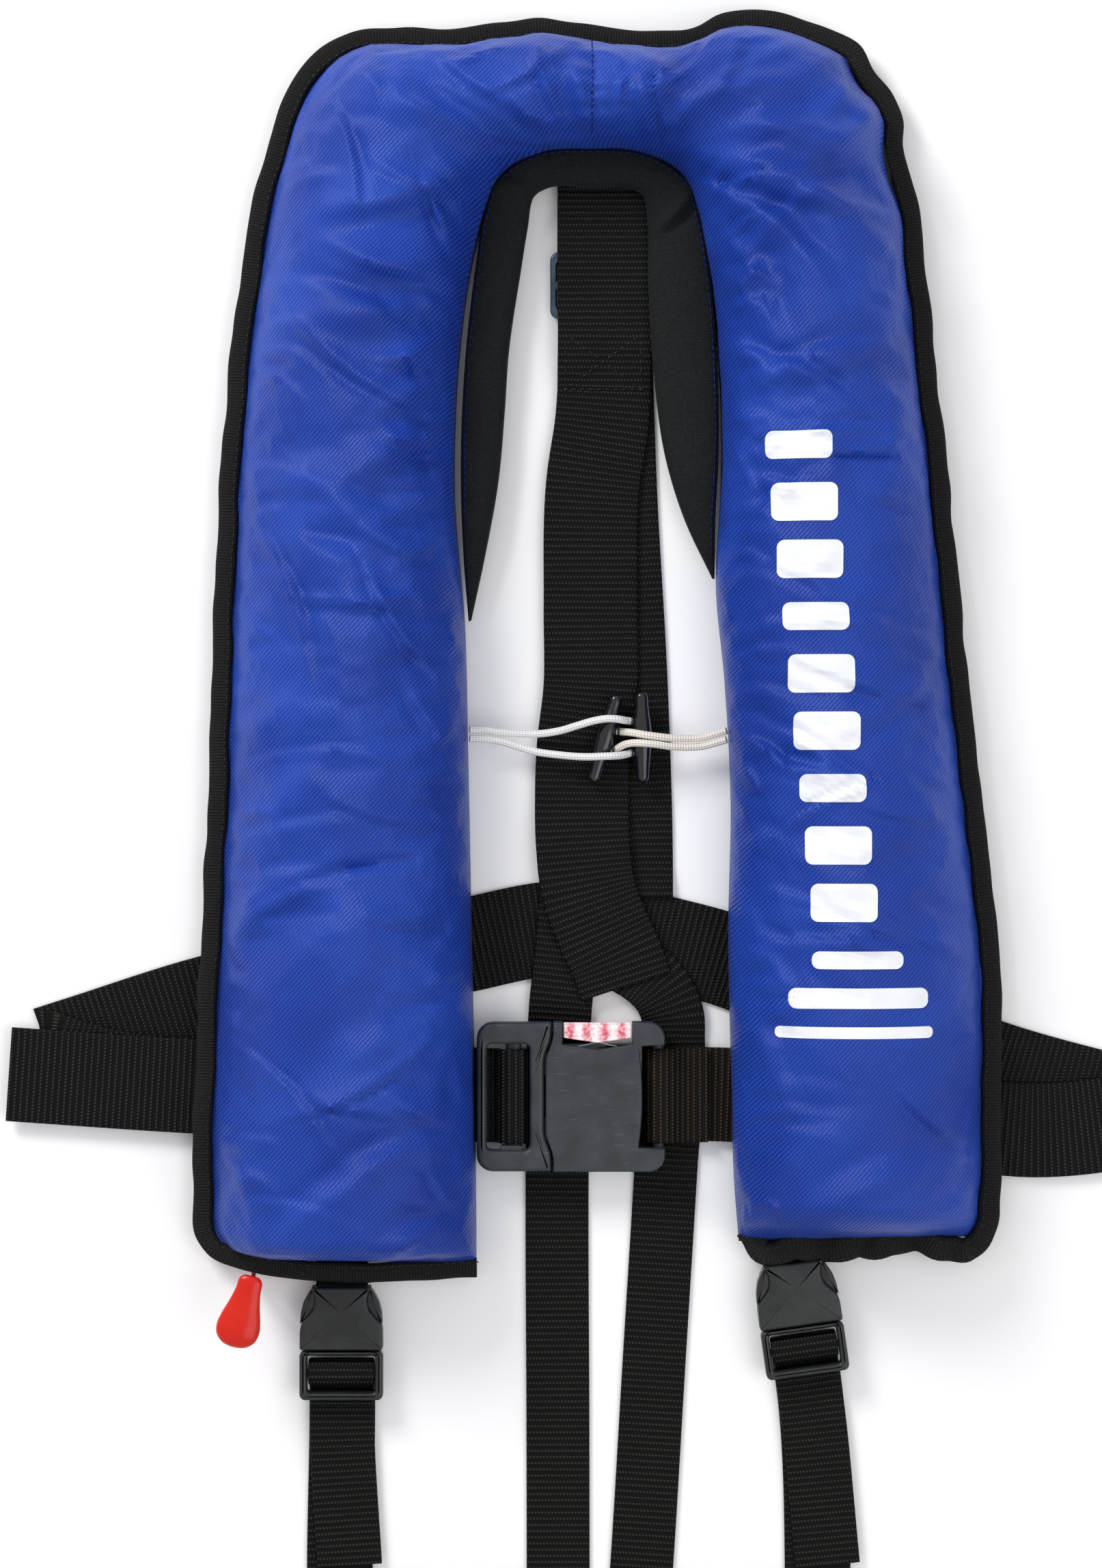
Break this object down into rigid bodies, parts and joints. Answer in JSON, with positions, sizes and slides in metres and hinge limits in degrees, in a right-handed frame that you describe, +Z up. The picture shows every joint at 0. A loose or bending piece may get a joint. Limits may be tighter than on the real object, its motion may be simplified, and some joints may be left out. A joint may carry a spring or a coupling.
{
  "type": "inflatable life jacket",
  "caption": "Automatic inflatable life jacket laid flat: U-shaped bladder cover, neoprene collar, back strap, waist belt with side-release buckle, and crotch straps.",
  "frame": {"origin": "middle of the jacket's outline, on the surface it lies on", "axes": "+X towards the side of the buckle housing's belt half, +Y towards the collar, +Z up off the surface, out of the chest side"},
  "size_m": [0.47, 0.658, 0.0501],
  "materials": {
    "cover_cloth": "royal blue twill-woven nylon, soft sheen",
    "webbing": "black ribbed polyester webbing",
    "binding_tape": "black grosgrain tape",
    "neoprene": "matte black neoprene",
    "bladder_cloth": "coated yellow nylon, folded",
    "buckle_plastic": "dark grey moulded acetal, satin",
    "button_plastic": "translucent red, faceted",
    "black_plastic": "black moulded plastic",
    "red_plastic": "glossy red moulded plastic",
    "red_cord": "red braided cord",
    "orange_plastic": "orange moulded plastic",
    "toggle_plastic": "glossy black moulded plastic",
    "braid": "white braided polyester cord",
    "steel": "stainless steel"
  },
  "bodies": {
    "jacket": {"front_cover": "cover_cloth", "back_panel": "cover_cloth", "edge_binding": "binding_tape", "closure_hook_strip": "binding_tape", "closure_loop_strip": "binding_tape", "buoyancy_bladder": "bladder_cloth", "neck_collar": "neoprene", "inflator_body": "black_plastic", "inflator_manifold": "black_plastic", "lever_pivot_pin": "steel", "firing_lanyard": "red_cord", "oral_inflation_tube": "black_plastic", "whistle": "orange_plastic", "lifting_loop": "webbing", "back_strap_rear": "webbing", "back_strap_front": "webbing", "waist_belt_left": "webbing", "waist_belt_tail": "webbing", "waist_belt_right": "webbing", "waist_belt_buckle_end": "webbing", "buckle_tab": "buckle_plastic", "crotch_socket_left": "buckle_plastic", "crotch_tab_left": "webbing", "crotch_strap_left": "webbing", "crotch_strap_tail_left": "webbing", "crotch_socket_right": "buckle_plastic", "crotch_tab_right": "webbing", "crotch_strap_right": "webbing", "crotch_strap_tail_right": "webbing", "toggle_cord_left_upper": "braid", "toggle_cord_left_lower": "braid", "toggle_cord_right_upper": "braid", "toggle_cord_right_lower": "braid"},
    "slider": {"back_strap_slider": "steel"},
    "buckle_housing": {"buckle_housing": "buckle_plastic", "button_spring": "steel"},
    "release_button": {"release_button": "button_plastic"},
    "crotch_plug_left": {"crotch_plug_left": "buckle_plastic"},
    "crotch_plug_right": {"crotch_plug_right": "buckle_plastic"},
    "gas_cylinder": {"gas_cylinder": "steel"},
    "cartridge_cap": {"auto_cartridge_cap": "black_plastic"},
    "firing_lever": {"firing_lever": "black_plastic"},
    "piercing_pin": {"piercing_pin": "steel"},
    "pull_handle": {"pull_handle": "red_plastic"},
    "oral_cap": {"oral_tube_cap": "red_plastic"},
    "toggle_left": {"toggle_left": "toggle_plastic"},
    "toggle_right": {"toggle_right": "toggle_plastic"}
  },
  "joints": [
    {"name": "slider_adjust", "type": "slide", "parent": "jacket", "child": "slider", "axis": [0, 1, 0], "range_m": [-0.012, 0.012], "deforming": ["back_strap_front"]},
    {"name": "buckle_open", "type": "slide", "parent": "jacket", "child": "buckle_housing", "axis": [1, 0, 0], "range_m": [0, 0.024], "deforming": ["waist_belt_buckle_end"]},
    {"name": "button_press", "type": "slide", "parent": "buckle_housing", "child": "release_button", "axis": [0, -1, 0], "range_m": [0, 0.0025], "stiffness_N_per_m": 600, "deforming": ["button_spring"]},
    {"name": "crotch_plug_left_pull", "type": "slide", "parent": "jacket", "child": "crotch_plug_left", "axis": [0, -1, 0], "range_m": [0, 0.026], "deforming": ["crotch_strap_left", "crotch_strap_tail_left"]},
    {"name": "crotch_plug_right_pull", "type": "slide", "parent": "jacket", "child": "crotch_plug_right", "axis": [0.1392, -0.9903, 0], "range_m": [0, 0.026], "deforming": ["crotch_strap_right", "crotch_strap_tail_right"]},
    {"name": "cylinder_unscrew", "type": "hinge", "parent": "jacket", "child": "gas_cylinder", "pos_m": [-0.104, -0.05, 0.0328], "axis": [0, 1, 0], "continuous": true},
    {"name": "cartridge_cap_unscrew", "type": "hinge", "parent": "jacket", "child": "cartridge_cap", "pos_m": [-0.104, -0.155, 0.0328], "axis": [0, 1, 0], "continuous": true},
    {"name": "handle_pull", "type": "slide", "parent": "jacket", "child": "pull_handle", "axis": [0, -1, 0], "range_m": [0, 0.03], "deforming": ["firing_lanyard"]},
    {"name": "lever_fire", "type": "hinge", "parent": "jacket", "child": "firing_lever", "pos_m": [-0.1235, -0.14, 0.0328], "axis": [0, 0, 1], "range_deg": [0, 75]},
    {"name": "pin_strike", "type": "slide", "parent": "jacket", "child": "piercing_pin", "axis": [0, 1, 0], "range_m": [0, 0.002]},
    {"name": "oral_cap_pull", "type": "slide", "parent": "jacket", "child": "oral_cap", "axis": [0, -1, 0], "range_m": [0, 0.011]},
    {"name": "toggle_left_swivel", "type": "hinge", "parent": "jacket", "child": "toggle_left", "pos_m": [0.0055, 0.037, 0.0083], "axis": [0, 0, 1], "range_deg": [-4, 22], "deforming": ["toggle_cord_right_upper", "toggle_cord_right_lower"]},
    {"name": "toggle_right_swivel", "type": "hinge", "parent": "jacket", "child": "toggle_right", "pos_m": [0.0204, 0.0375, 0.0083], "axis": [0, 0, 1], "range_deg": [-22, 4], "deforming": ["toggle_cord_left_upper", "toggle_cord_left_lower"]}
  ],
  "couplings": [
    {"joint": "lever_fire", "follows": "handle_pull", "rad_per_m": 43.59},
    {"joint": "pin_strike", "follows": "handle_pull", "ratio": 0.0665}
  ]
}
